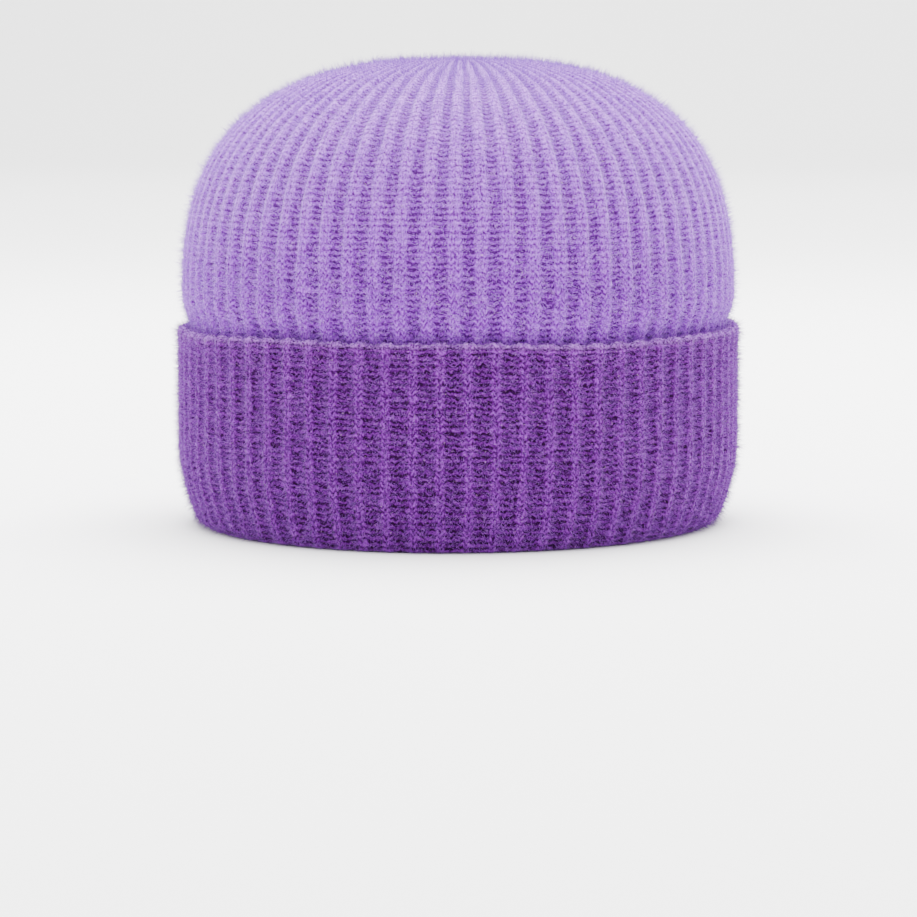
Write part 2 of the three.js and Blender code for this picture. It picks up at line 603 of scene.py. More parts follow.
@dataclass
class Fuzz:
    """Loose fibres that stand off a knitted layer: closed three-sided strands that taper to a point.

    Attributes:
        lowest: the level above which the fibres stand.
        buried: how deep the roots lie under the layer's face.
        middle_radius: thickness half way up a bent fibre, as a share of that at its root.
        droop: how far the upper half of a bent fibre falls.
        clearance: height of the lowest points above the floor.
    """

    name: str
    skin: bpy.types.Object
    lowest: float
    sorts: tuple[Hair, ...]
    seed: int
    buried: float = 0.15 * MM
    middle_radius: float = 0.85
    droop: float = 0.6
    clearance: float = 0.02 * MM

    SIDES = 3
    LEVEL = (1, 1, 0)
    # Keeps the direction from the middle defined at the very top
    BESIDE_AXIS = (MM * MM, 0, 0)
    LEAST_OUTWARD = 0.1
    HEAD_MIDDLE = (0.0, 0.0, 0.06)
    OUTWARD_WEIGHTS = (1, 1, 0.8)

    def triangles(self) -> tuple[np.ndarray, np.ndarray, np.ndarray]:
        """Reads the triangles of the layer.

        Returns:
            The three corners of each, its normal, and its area.
        """
        mesh = self.skin.data
        mesh.calc_loop_triangles()
        triangles = mesh.loop_triangles
        corner = np.empty(len(triangles) * 3, dtype=np.int32)
        normal, area = np.empty(len(triangles) * 3), np.empty(len(triangles))
        point = np.empty(len(mesh.vertices) * 3)
        triangles.foreach_get("vertices", corner)
        triangles.foreach_get("normal", normal)
        triangles.foreach_get("area", area)
        mesh.vertices.foreach_get("co", point)
        return point.reshape(-1, 3)[corner.reshape(-1, 3)], normal.reshape(-1, 3), area

    def roots(self, count: int, rng: np.random.Generator) -> tuple[np.ndarray, np.ndarray]:
        """Picks places on the outer face, evenly by area.

        Args:
            count: how many places.
            rng: the random numbers.

        Returns:
            The places, and the outward direction at each.
        """
        corners, normal, area = self.triangles()
        first = corners[:, 0]
        from_middle = unit(first * self.LEVEL + self.BESIDE_AXIS)
        outward = (normal * from_middle).sum(axis=1) + np.maximum(normal[:, 2], 0)
        weight = area * (outward > self.LEAST_OUTWARD) * (first[:, 2] > self.lowest)
        chosen = rng.choice(len(area), count, p=weight / weight.sum())
        shares = rng.uniform(0.0, 1.0, (count, 2))
        shares = np.where(shares.sum(axis=1, keepdims=True) > 1, 1 - shares, shares)
        sides = corners[chosen, 1:] - first[chosen, None]
        root = first[chosen] + (sides * shares[:, :, None]).sum(axis=1)
        straight_out = unit((root - self.HEAD_MIDDLE) * self.OUTWARD_WEIGHTS)
        return root, unit(normal[chosen] + straight_out)

    def strand_faces(self, rings: int) -> np.ndarray:
        """Triangles of one strand: its root, its sides and its tip.

        Args:
            rings: how many rings of points it has below the tip.

        Returns:
            Three point numbers for each triangle.
        """
        sides, last = self.SIDES, self.SIDES * (rings - 1)
        faces = [(0, 2, 1)]
        for corner in range(sides):
            following = (corner + 1) % sides
            for start in range(0, last, sides):
                faces.append((start + corner, start + following, start + following + sides))
                faces.append((start + corner, start + following + sides, start + corner + sides))
            faces.append((last + corner, last + following, last + sides))
        return np.array(faces)

    def strands(self, hair: Hair, rng: np.random.Generator) -> tuple[np.ndarray, np.ndarray]:
        """Grows all fibres of one sort.

        Args:
            hair: the sort.
            rng: the random numbers.

        Returns:
            The points, and the triangles between them.
        """
        root, normal = self.roots(hair.count, rng)
        wild = rng.normal(0.0, 1.0, (hair.count, 3))
        along = unit(wild - normal * (wild * normal).sum(axis=1, keepdims=True))
        side = np.cross(normal, along)
        lean = rng.uniform(*hair.lean, (hair.count, 1))
        length = rng.uniform(*hair.length, (hair.count, 1))
        radius = rng.uniform(*hair.radius, (hair.count, 1))
        rise = normal * np.cos(lean) + along * np.sin(lean)
        across = unit(np.cross(rise, side))
        turns = [TURN * corner / self.SIDES for corner in range(self.SIDES)]
        ring = [math.cos(turn) * side + math.sin(turn) * across for turn in turns]
        rings = [[root - normal * self.buried + edge * radius for edge in ring]]
        top = root + rise * length
        if hair.bend:
            middle = root + rise * length / 2
            rings.append([middle + edge * radius * self.middle_radius for edge in ring])
            sideways = side * rng.normal(0.0, hair.bend, (hair.count, 1))
            top = middle + unit(rise + sideways - normal * np.cos(lean) * self.droop) * length / 2
        points = np.stack([point for ring_points in rings for point in ring_points] + [top], axis=1)
        strand_starts = points.shape[1] * np.arange(hair.count)
        faces = self.strand_faces(len(rings))[None] + strand_starts[:, None, None]
        return points.reshape(-1, 3), faces.reshape(-1, 3)

    def build(self) -> bpy.types.Object:
        """Grows every sort of fibre and joins them in one mesh.

        Returns:
            The object with all the strands.
        """
        rng = np.random.default_rng(self.seed)
        points, faces, known = [], [], 0
        for hair in self.sorts:
            more_points, more_faces = self.strands(hair, rng)
            points.append(more_points)
            faces.append(more_faces + known)
            known += len(more_points)
        place = np.concatenate(points)
        place[:, 2] = np.maximum(place[:, 2], self.clearance)
        mesh = bpy.data.meshes.new(self.name)
        mesh.from_pydata(place.tolist(), [], np.concatenate(faces).tolist())
        strands = bmesh.new()
        strands.from_mesh(mesh)
        bmesh.ops.recalc_face_normals(strands, faces=strands.faces)
        strands.to_mesh(mesh)
        strands.free()
        return add_object(mesh, self.name)


class TreeBuilder:
    """A node tree in the making, with short ways to add what both materials and shared groups use."""

    def __init__(self, tree: bpy.types.NodeTree) -> None:
        """Keeps the tree that the nodes go into."""
        self.tree = tree

    def add(self, kind: str, inputs: dict[str | int, Socket | Triple | float],
            **options: object) -> bpy.types.Node:
        """Adds one shader node.

        Args:
            kind: its type.
            inputs: sockets or plain values for its inputs, by name or number.
            options: the node's own options.

        Returns:
            The node.
        """
        node = self.tree.nodes.new(kind)
        for name, option in options.items():
            setattr(node, name, option)
        for name, value in inputs.items():
            if isinstance(value, bpy.types.NodeSocket):
                self.tree.links.new(value, node.inputs[name])
            else:
                node.inputs[name].default_value = value
        return node

    def maths(self, operation: str, *values: Socket | float) -> Socket:
        """One maths node on sockets or plain numbers, in order."""
        return self.add("ShaderNodeMath", dict(enumerate(values)), operation=operation).outputs["Value"]

    def blend(self, share: Socket | float, low: Socket, high: Socket) -> Socket:
        """Goes from one value to another by a mask or a plain share."""
        inputs = {"Factor": share, "A": low, "B": high}
        return self.add("ShaderNodeMix", inputs, data_type="FLOAT").outputs["Result"]


@dataclass(frozen=True, kw_only=True)
class Finish:
    """How a material takes light, the same all over.

    Attributes:
        name: the material's name.
        bloom: colour of its bloom at glancing angles.
        sheen: strength of the bloom.
        sheen_roughness: how far the bloom spreads from the edge.
        roughness: how matt it is.
        specular: strength of its plain reflection.
    """

    name: str
    bloom: Colour = (0.68, 0.42, 1.0)
    sheen: float
    sheen_roughness: float
    roughness: float
    specular: float


class MaterialBuilder(TreeBuilder):
    """A material in the making: one shader with its even numbers set, and short ways to feed its colour."""

    def __init__(self, finish: Finish) -> None:
        """Makes the material and sets the numbers that are the same all over.

        Args:
            finish: how it takes light.
        """
        self.material = bpy.data.materials.new(finish.name)
        self.material.use_nodes = True
        super().__init__(self.material.node_tree)
        self.shader = self.tree.nodes["Principled BSDF"]
        self.shader.inputs["Roughness"].default_value = finish.roughness
        self.shader.inputs["Specular IOR Level"].default_value = finish.specular
        self.shader.inputs["Sheen Weight"].default_value = finish.sheen
        self.shader.inputs["Sheen Roughness"].default_value = finish.sheen_roughness
        self.shader.inputs["Sheen Tint"].default_value = (*finish.bloom, 1)

    def group(self, shared: bpy.types.NodeTree, stitch_map: bool) -> bpy.types.Node:
        """Adds a shared group, fed with the place on the object and, if asked, with the stitch map.

        Args:
            shared: the node group.
            stitch_map: whether the piece has a stitch map.

        Returns:
            The group's node.
        """
        node = self.add("ShaderNodeGroup", {}, node_tree=shared)
        self.tree.links.new(self.add("ShaderNodeTexCoord", {}).outputs["Object"], node.inputs["Place"])
        if stitch_map:
            source = self.add("ShaderNodeUVMap", {}, uv_map="stitch_map")
            self.tree.links.new(source.outputs["UV"], node.inputs["Stitch Map"])
        return node

    def mixed_colour(self, mask: Socket, under: Socket, over: Colour) -> Socket:
        """Lays a plain colour over a changing one by a mask.

        Args:
            mask: 0 where the changing colour shows, 1 where the plain one does.
            under: the changing colour.
            over: the plain colour.

        Returns:
            The mixed colour's socket.
        """
        mix = self.add("ShaderNodeMix", {0: mask}, data_type="RGBA")
        changing, plain = [socket for socket in mix.inputs if socket.type == "RGBA"]
        self.tree.links.new(under, changing)
        plain.default_value = (*over, 1)
        return next(socket for socket in mix.outputs if socket.type == "RGBA")

    def ramp(self, value: Socket, stops: tuple[float, ...], colours: tuple[Colour, ...]) -> Socket:
        """Turns a value into a colour by stops.

        Args:
            value: the value.
            stops: places from 0 to 1, in order.
            colours: the colour at each.

        Returns:
            The colour's socket.
        """
        node = self.add("ShaderNodeValToRGB", {"Fac": value})
        elements = node.color_ramp.elements
        while len(elements) < len(stops):
            elements.new(1.0)
        for element, place, colour in zip(elements, stops, colours):
            element.position = place
            element.color = (*colour, 1)
        return node.outputs["Color"]

    def link(self, value: Socket, name: str) -> None:
        """Feeds a socket of the shader."""
        self.tree.links.new(value, self.shader.inputs[name])

    def bump(self, height: Socket, distance: float) -> None:
        """Adds the height's fine relief to the shader."""
        bump = self.add("ShaderNodeBump", {"Strength": 1.0, "Distance": distance, "Height": height})
        self.link(bump.outputs["Normal"], "Normal")


class GroupBuilder(TreeBuilder):
    """A shared shader node group in the making, fed with a place and a stitch map."""

    RIB_EDGE = 0.3

    def __init__(self, name: str, numbers: tuple[str, ...], outputs: tuple[str, ...]) -> None:
        """Starts a group with named sockets.

        Args:
            name: the group's name.
            numbers: names of the plain numbers that go in besides place and stitch map.
            outputs: names of the values that come out.
        """
        super().__init__(bpy.data.node_groups.new(name, "ShaderNodeTree"))
        for socket in ("Place", "Stitch Map"):
            self.tree.interface.new_socket(socket, in_out="INPUT", socket_type="NodeSocketVector")
        for socket in numbers:
            self.tree.interface.new_socket(socket, in_out="INPUT", socket_type="NodeSocketFloat")
        for socket in outputs:
            self.tree.interface.new_socket(socket, in_out="OUTPUT", socket_type="NodeSocketFloat")
        self.entry = self.tree.nodes.new("NodeGroupInput").outputs
        self.exit = self.tree.nodes.new("NodeGroupOutput")

    def wave(self, value: Socket, turns: float) -> Socket:
        """Wave from 0 to 1 that is 1 where the value is 0, so many whole waves to each unit."""
        cosine = self.maths("COSINE", self.maths("MULTIPLY", value, TURN * turns))
        return self.maths("MULTIPLY_ADD", cosine, 0.5, 0.5)

    def split(self, vector: Socket) -> tuple[Socket, Socket]:
        """The first two numbers of a vector."""
        node = self.add("ShaderNodeSeparateXYZ", {0: vector})
        return node.outputs["X"], node.outputs["Y"]

    def stretched(self, vector: Socket, scale: Triple) -> Socket:
        """A vector with each of its numbers multiplied."""
        return self.add("ShaderNodeMapping", {"Scale": scale, "Vector": vector}).outputs["Vector"]

    def noise(self, place: Socket, scale: float, detail: float) -> Socket:
        """Noise of a scale and detail at a place."""
        inputs = {"Scale": scale, "Detail": detail, "Vector": place}
        return self.add("ShaderNodeTexNoise", inputs).outputs["Fac"]

    def strayed(self, value: Socket, scale: float, reach: float) -> Socket:
        """A value that strays up and down from place to place, by noise of a scale."""
        off = self.maths("SUBTRACT", self.noise(self.entry["Place"], scale, detail=1.0), 0.5)
        return self.maths("MULTIPLY_ADD", off, reach, value)

    def span(self, value: Socket, low: float, high: float) -> Socket:
        """Smooth step from 0 to 1 as a value goes from low to high."""
        inputs = {"From Min": low, "From Max": high, "Value": value}
        return self.add("ShaderNodeMapRange", inputs, interpolation_type="SMOOTHSTEP").outputs["Result"]

    def knit_mask(self, stitch: Socket) -> Socket:
        """1 on knit ribs and 0 on the purl valleys between them.

        Args:
            stitch: the stitch coordinate.

        Returns:
            The mask's socket.
        """
        past_middle = self.maths("SUBTRACT", stitch, self.entry["Rib Phase"])
        wave = self.maths("COSINE", self.maths("MULTIPLY", past_middle, TURN / Gauge.stitches_per_rib))
        past_change = self.maths("SUBTRACT", wave, self.entry["Narrowness"])
        return self.span(past_change, -self.RIB_EDGE, self.RIB_EDGE)

    def give(self, name: str, value: Socket) -> None:
        """Sends a value out of the group."""
        self.tree.links.new(value, self.exit.inputs[name])


@dataclass(frozen=True)
class RibKnitGroup:
    """Shared group for the fine height of ribbed knit: forked legs on knit stitches, bars on purl ones.

    Attributes:
        stitch_stray: scale of the noise that moves stitches sideways, and how far it moves them.
        row_stray: the same for the rows.
        leg_gap: depth of the gap between a stitch's legs, as a share of that between stitches.
        gap_depth: how deep those gaps are.
        leg_ridge: how far legs rise and fall with the rows.
        leg_level: height of the legs between two rows.
        bar_band: part of a row's rise over which the bar of a purl stitch stands up.
        bar_height: how high the bar is.
        bar_level: height between two bars.
    """

    name: str = "rib_knit"
    stitch_stray: Pair = (420.0, 0.6)
    row_stray: Pair = (330.0, 0.75)
    leg_gap: float = 0.8
    gap_depth: float = 0.5
    leg_ridge: float = 0.8
    leg_level: float = 0.4
    bar_band: Pair = (0.1, 0.8)
    bar_height: float = 0.55
    bar_level: float = -0.06

    def build(self) -> bpy.types.NodeTree:
        """Builds the group from stitch and row numbers, or finds the one built before.

        Returns:
            The node group.
        """
        if self.name in bpy.data.node_groups:
            return bpy.data.node_groups[self.name]
        numbers = ("Rib Phase", "Narrowness", "Painted Highlight From", "Painted Highlight To", "Painted Highlight On Knit", "Painted Highlight On Purl")
        group = GroupBuilder(self.name, numbers, ("Height", "Painted Highlight"))
        even_stitch, even_row = group.split(group.entry["Stitch Map"])
        stitch = group.strayed(even_stitch, *self.stitch_stray)
        row = group.strayed(even_row, *self.row_stray)
        ridge = group.wave(row, turns=1)
        between_wales = group.wave(stitch, turns=1)
        between_legs = group.wave(stitch, turns=2)
        gap = group.maths("MAXIMUM", between_wales, group.maths("MULTIPLY", between_legs, self.leg_gap))
        leg = group.maths("SUBTRACT", 1.0, group.maths("MULTIPLY", gap, self.gap_depth))
        ridged, level = group.maths("MULTIPLY", leg, ridge), group.maths("MULTIPLY", leg, self.leg_level)
        legs = group.maths("MULTIPLY_ADD", ridged, self.leg_ridge, level)
        bars = group.maths("MULTIPLY_ADD", group.span(ridge, *self.bar_band), self.bar_height, self.bar_level)
        on_knit = group.knit_mask(stitch)
        group.give("Height", group.blend(on_knit, bars, legs))
        # Painted highlight mask: grows from one row to another, stronger on knit ribs than in purl valleys.
        past = group.maths("SUBTRACT", even_row, group.entry["Painted Highlight From"])
        band = group.maths("SUBTRACT", group.entry["Painted Highlight To"], group.entry["Painted Highlight From"])
        risen = group.span(group.maths("DIVIDE", past, band), 0.0, 1.0)
        share = group.blend(on_knit, group.entry["Painted Highlight On Purl"], group.entry["Painted Highlight On Knit"])
        group.give("Painted Highlight", group.maths("MULTIPLY", risen, share))
        return group.tree


@dataclass(frozen=True)
class WoolFibreGroup:
    """Shared group for wool over the stitches: strands along the yarn, loose bright fibres, and a few flecks.

    Each noise is a pair of its scale and its detail, and each band a pair of where a value starts to
    show and where it shows in full.

    Attributes:
        leg_stretch: how much finer the strands are across and along the ribs, on knit stitches.
        bar_stretch: the same on purl stitches.
        strand_share: share of those strands in the whole, beside fine specks and small tufts.
        threads: noise whose middle lines are the loose fibres.
        patches: noise of the patches where those show.
    """

    name: str = "wool_fibre"
    leg_stretch: Triple = (5.0, 1.6, 1.0)
    bar_stretch: Triple = (1.5, 4.6, 1.0)
    strand_detail: float = 3.0
    specks: Pair = (1700.0, 3.0)
    tufts: Pair = (520.0, 2.0)
    speck_share: float = 0.5
    strand_share: float = 0.35
    tuft_share: float = 0.15
    strand_band: Pair = (0.4, 0.6)
    threads: Pair = (800.0, 3.0)
    thread_width: float = 0.07
    patches: Pair = (300.0, 1.0)
    patch_band: Pair = (0.45, 0.65)
    fibre_strength: float = 0.55
    flecks: Pair = (1500.0, 1.0)
    fleck_band: Pair = (0.7, 0.76)
    fleck_strength: float = 0.5

    def build(self) -> bpy.types.NodeTree:
        """Builds the group, or finds the one built before.

        Returns:
            The node group.
        """
        if self.name in bpy.data.node_groups:
            return bpy.data.node_groups[self.name]
        group = GroupBuilder(self.name, ("Rib Phase", "Narrowness"), ("Strands", "Fibres", "Flecks"))
        place, stitches = group.entry["Place"], group.entry["Stitch Map"]
        stitch = group.split(stitches)[0]
        lengthways, crossways = [
            group.noise(group.stretched(stitches, stretch), scale=1.0, detail=self.strand_detail)
            for stretch in (self.leg_stretch, self.bar_stretch)
        ]
        twisted = group.blend(group.knit_mask(stitch), crossways, lengthways)
        strands = group.maths("MULTIPLY", twisted, self.strand_share)
        for noise, share in ((self.specks, self.speck_share), (self.tufts, self.tuft_share)):
            strands = group.maths("MULTIPLY_ADD", group.noise(place, *noise), share, strands)
        group.give("Strands", group.span(strands, *self.strand_band))
        off_middle = group.maths("MULTIPLY_ADD", group.noise(place, *self.threads), 2.0, -1.0)
        off_thread = group.span(group.maths("ABSOLUTE", off_middle), 0.0, self.thread_width)
        patch = group.span(group.noise(place, *self.patches), *self.patch_band)
        fibres = group.maths("MULTIPLY", group.maths("SUBTRACT", 1.0, off_thread), patch)
        group.give("Fibres", group.maths("MULTIPLY", fibres, self.fibre_strength))
        fleck = group.span(group.noise(place, *self.flecks), *self.fleck_band)
        group.give("Flecks", group.maths("MULTIPLY", fleck, self.fleck_strength))
        return group.tree


@dataclass(frozen=True, kw_only=True)
class YarnFinish(Finish):
    """Brushed wool yarn: its colours from painted shade in the hollows between stitches, through its own
    colour, up to a painted highlight on the crests and the loose fibres.

    Attributes:
        layer: the layer that it is for.
        highlight_on_knit: how far knit ribs take the pale colour of the painted highlight where the knit is
            painted paler.
        highlight_on_purl: how far purl valleys take it.
        relief: depth of the fine relief.
        strand_share: how much of that relief is the yarn's strands, the rest being stitches.
        stops: heights in the relief of hollow, body and crest, that is of painted shade, the yarn's own
            colour and a painted highlight.
    """

    layer: Layer
    # Painted shade: colour of the hollows between stitches.
    hollow: Colour
    body: Colour
    # Painted highlight: colour of the stitch crests.
    crest: Colour
    # Colour of the loose fibres: real fibres, painted paler as a painted highlight where they catch the
    # light.
    fibre: Colour
    fleck: Colour
    # Colour of the painted highlight.
    pale: Colour
    highlight_on_knit: float
    highlight_on_purl: float
    sheen_roughness: float = 0.32
    roughness: float = 0.95
    specular: float = 0.06
    relief: float = 0.3 * MM
    strand_share: float = 0.36
    stops: Triple = (0.16, 0.46, 0.82)

    def material(self, painted_highlight_rows: Pair) -> bpy.types.Material:
        """Builds the finish as a node material.

        Args:
            painted_highlight_rows: the rows of the knit between which the painted highlight grows.

        Returns:
            The material.
        """
        paint = MaterialBuilder(self)
        knit = paint.group(RibKnitGroup().build(), stitch_map=True)
        wool = paint.group(WoolFibreGroup().build(), stitch_map=True)
        for group in (knit, wool):
            group.inputs["Rib Phase"].default_value = self.layer.phase
            group.inputs["Narrowness"].default_value = self.layer.narrowness
        knit.inputs["Painted Highlight From"].default_value, knit.inputs["Painted Highlight To"].default_value = painted_highlight_rows
        knit.inputs["Painted Highlight On Knit"].default_value = self.highlight_on_knit
        knit.inputs["Painted Highlight On Purl"].default_value = self.highlight_on_purl
        height = paint.blend(self.strand_share, knit.outputs["Height"], wool.outputs["Strands"])
        # Colour by relief height: painted shade in the hollows and a painted highlight on the crests, with
        # the strands' own random tone mixed in.
        depth = paint.ramp(height, self.stops, (self.hollow, self.body, self.crest))
        # Painted highlight: the knit is painted paler where this mask is, for light from above on the crown
        # and on the cuff's top edge.
        painted_highlight_mask = paint.maths("MULTIPLY", knit.outputs["Painted Highlight"], wool.outputs["Strands"])
        highlighted = paint.mixed_colour(painted_highlight_mask, depth, self.pale)
        # Loose fibres over the knit, in a paler colour that is partly a painted highlight.
        haired = paint.mixed_colour(wool.outputs["Fibres"], highlighted, self.fibre)
        flecked = paint.mixed_colour(wool.outputs["Flecks"], haired, self.fleck)
        paint.link(flecked, "Base Color")
        paint.bump(height, self.relief)
        return paint.material


@dataclass(frozen=True, kw_only=True)
class FibreFinish(Finish):
    """Single loose fibres: a dark and a pale shade of the yarn, at two stops in the wool's pattern."""

    dark: Colour
    pale: Colour
    sheen: float = 0.4
    sheen_roughness: float = 0.4
    roughness: float = 0.85
    specular: float = 0.2
    stops: Pair = (0.3, 0.7)

    def material(self) -> bpy.types.Material:
        """Builds the finish as a node material.

        Returns:
            The material.
        """
        paint = MaterialBuilder(self)
        wool = paint.group(WoolFibreGroup().build(), stitch_map=False)
        paint.link(paint.ramp(wool.outputs["Strands"], self.stops, (self.dark, self.pale)), "Base Color")
        return paint.material


# One yarn as a lit and a shaded copy: the crown's colours are painted lighter, as lit from above, and the
# cuff's painted darker, as in shade.
LIT_CROWN_YARN = YarnFinish(
    name="crown_wool",
    layer=Layer.CROWN,
    # Hollow colour is painted shade, crest colour a painted highlight.
    hollow=(0.045, 0.002, 0.085),
    body=(0.16, 0.02, 0.32),
    crest=(0.32, 0.07, 0.6),
    fibre=(0.5, 0.22, 0.76),
    fleck=(0.45, 0.3, 0.42),
    # Painted highlight growing up the dome.
    pale=(0.52, 0.24, 0.84),
    highlight_on_knit=0.5,
    highlight_on_purl=0.15,
    sheen=0.95,
)
SHADED_CUFF_YARN = YarnFinish(
    name="cuff_wool",
    layer=Layer.CUFF,
    # Hollow colour is painted shade, crest colour a painted highlight.
    hollow=(0.012, 0.0002, 0.018),
    body=(0.072, 0.004, 0.12),
    crest=(0.22, 0.03, 0.38),
    fibre=(0.34, 0.1, 0.54),
    fleck=(0.36, 0.22, 0.34),
    # Painted highlight along the top edge.
    pale=(0.42, 0.16, 0.64),
    highlight_on_knit=1.0,
    highlight_on_purl=1.0,
    sheen=0.45,
)
# The loose fibres as a lit and a shaded copy too: painted lighter on the crown and darker on the cuff.
LIT_CROWN_FIBRE = FibreFinish(name="crown_fibre", dark=(0.24, 0.07, 0.46), pale=(0.44, 0.2, 0.72))
SHADED_CUFF_FIBRE = FibreFinish(name="cuff_fibre", dark=(0.08, 0.01, 0.16), pale=(0.3, 0.08, 0.5))
SHORT_HAIR = Hair(
    count=41000, length=(1.0 * MM, 2.6 * MM), radius=(0.055 * MM, 0.09 * MM), lean=(0.0, 0.7), bend=0.0,
)
LONG_HAIR = Hair(
    count=3000, length=(1.8 * MM, 4.5 * MM), radius=(0.035 * MM, 0.06 * MM), lean=(0.6, 1.5), bend=0.7,
)
DOWN_HAIR = Hair(
    count=26000, length=(1.8 * MM, 4.0 * MM), radius=(0.05 * MM, 0.08 * MM), lean=(0.0, 0.6), bend=0.0,
)
COATS = (("fuzz", (SHORT_HAIR, LONG_HAIR)), ("down", (DOWN_HAIR,)))


@dataclass
class CapLayer(ABC):
    """A knitted layer of the cap with its coats of loose fibres.

    Attributes:
        node: the node of the solids that it replaces.
        seed: start of its random numbers.
        yarn: finish of the knit.
        fibre: finish of the loose fibres.
    """

    node: ClassVar[str]
    seed: ClassVar[int]

    form: CapForm
    yarn: YarnFinish
    fibre: FibreFinish

    @property
    @abstractmethod
    def painted_highlight_rows(self) -> Pair:
        """Rows between which a painted highlight makes the knit paler."""

    @property
    @abstractmethod
    def lowest_fibre(self) -> float:
        """Level above which loose fibres stand."""

    @abstractmethod
    def build(self) -> bpy.types.Object:
        """Builds the knitted skin."""

    def dress(self, skin: bpy.types.Object) -> list[bpy.types.Object]:
        """Finishes the skin, grows its coats of fibres and attaches each piece to the root body.

        Args:
            skin: the knitted skin.

        Returns:
            The layer's pieces, the skin first.
        """
        node = self.node
        skin.data.materials.append(self.yarn.material(self.painted_highlight_rows))
        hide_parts(node)
        strand_finish = self.fibre.material()
        pieces = [skin]
        for coat, sorts in COATS:
            hairs = Fuzz(f"{node}_{coat}", skin, self.lowest_fibre, sorts, self.seed + len(pieces)).build()
            hairs.data.materials.append(strand_finish)
            pieces.append(hairs)
        for piece in pieces:
            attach(piece, "root")
        return pieces


@dataclass
class Crown(CapLayer):
    """The single layer of knit from the fold up to the gathered top, as one closed hollow shell.

    Attributes:
        below_fold: how far the shell's lower edge lies under the inside of the fold.
        hidden_lines: lines of the mesh behind the cuff.
        fine_rows: rows where the knit shows best, from the cuff up.
        lines_per_fine_row: lines of the mesh in each of them.
        plain_rows: rows above them, with one line each.
        top_lines: lines from there to the top.
        inside_lines: lines on the inner face.
        tucked: how far under the cuff's edge the stitches begin.
        fade: distance over which they fade out at the top.
        settle_rows: rows over which they settle into the upper part.
        upper_relief: how much of their relief stays there.
        fibre_overlap: how far under the cuff's edge loose fibres begin.
        painted_highlight_rows: rows between which the knit is painted paler up the dome, a painted highlight
            for light from above and glancing sheen.
    """

    node = "crown"
    seed = 11

    below_fold: float = 0.4 * MM
    hidden_lines: int = 3
    fine_rows: int = 21
    lines_per_fine_row: int = 2
    plain_rows: int = 20
    top_lines: int = 12
    inside_lines: int = 8
    tucked: float = 4 * MM
    fade: float = 24 * MM
    settle_rows: int = 9
    upper_relief: float = 0.3
    fibre_overlap: float = 1 * MM
    # Painted highlight: the knit grows paler up the dome, standing in for light from above.
    painted_highlight_rows: Pair = (0.0, 60.0)

    @property
    def lowest_fibre(self) -> float:
        """Level above which loose fibres stand, just under the cuff's edge."""
        return self.form.cuff_height - self.fibre_overlap

    def outside(self, path: Meridian) -> tuple[np.ndarray, np.ndarray]:
        """Lines of the mesh up the outer face: more to a row where the knit shows best, then one.

        Args:
            path: the crown's meridian.

        Returns:
            How far along the path each line is, and its row coordinate.
        """
        pitch, between = self.form.gauge.row_height, 1 / self.lines_per_fine_row
        first = path.distance_at_level(self.form.cuff_height - self.tucked)
        hidden = np.linspace(0, first, self.hidden_lines + 1)[:-1]
        fine = first + pitch * np.arange(0, self.fine_rows, between)
        plain = fine[-1] + pitch * (between + np.arange(self.plain_rows))
        top = np.linspace(plain[-1], path.length, self.top_lines + 2)[1:-1]
        distances = np.concatenate([hidden, fine, plain, top])
        return distances, (distances - first) / pitch

    def build(self) -> bpy.types.Object:
        """Bends a sheet of quads into the shell, from the inner top down and up the outside.

        Returns:
            The crown's object.
        """
        form, gauge = self.form, self.form.gauge
        knit = Knit(form, self.yarn.layer, self.seed)
        path = Meridian(form, form.fold_height - self.below_fold)
        outer, outer_row = self.outside(path)
        inner = np.linspace(path.length, 0, self.inside_lines + 1)[1:]
        lines = len(inner) + len(outer)
        sheet = KnitMesh("crown_knit", gauge.columns, lines + 2)
        index = np.clip(sheet.line - 1, 0, lines - 1)
        stitch = sheet.column / gauge.points_per_stitch
        distance = np.concatenate([inner, outer])[index]
        row = np.concatenate([np.interp(inner, outer, outer_row), outer_row])[index]

        fine = ramp(self.fine_rows - row, 0, self.settle_rows)
        settled = self.upper_relief + (1 - self.upper_relief) * fine
        fade = ramp(path.length - distance, 0, self.fade) * settled
        shift = knit.shift(stitch, row) * fade * ramp(distance, 0, self.tucked)
        offset = np.where(index < len(inner), 0.0, gauge.wall + knit.relief(stitch, row) * fade)
        swing = knit.rib_wave(stitch) * gauge.rib_depth / 2
        along = np.clip(distance + shift, 0, path.length)
        points = path.points(along, knit.angle(stitch, row), offset, swing)
        for line, level in ((0, form.height - gauge.wall), (lines + 1, form.height)):
            points[sheet.line == line] = (0.0, form.set_back, level)
        sheet.bend(points, stitch, row)
        return sheet.close()


@dataclass(frozen=True)
class Ripple:
    """One slow wave of the cuff's edge, with its share of the whole and how often it comes in one round."""

    share: float
    times_round: int
    start: float

    def at(self, angle: np.ndarray) -> np.ndarray:
        """Height of the wave at angles round the cap."""
        return self.share * np.sin(self.times_round * angle + self.start)


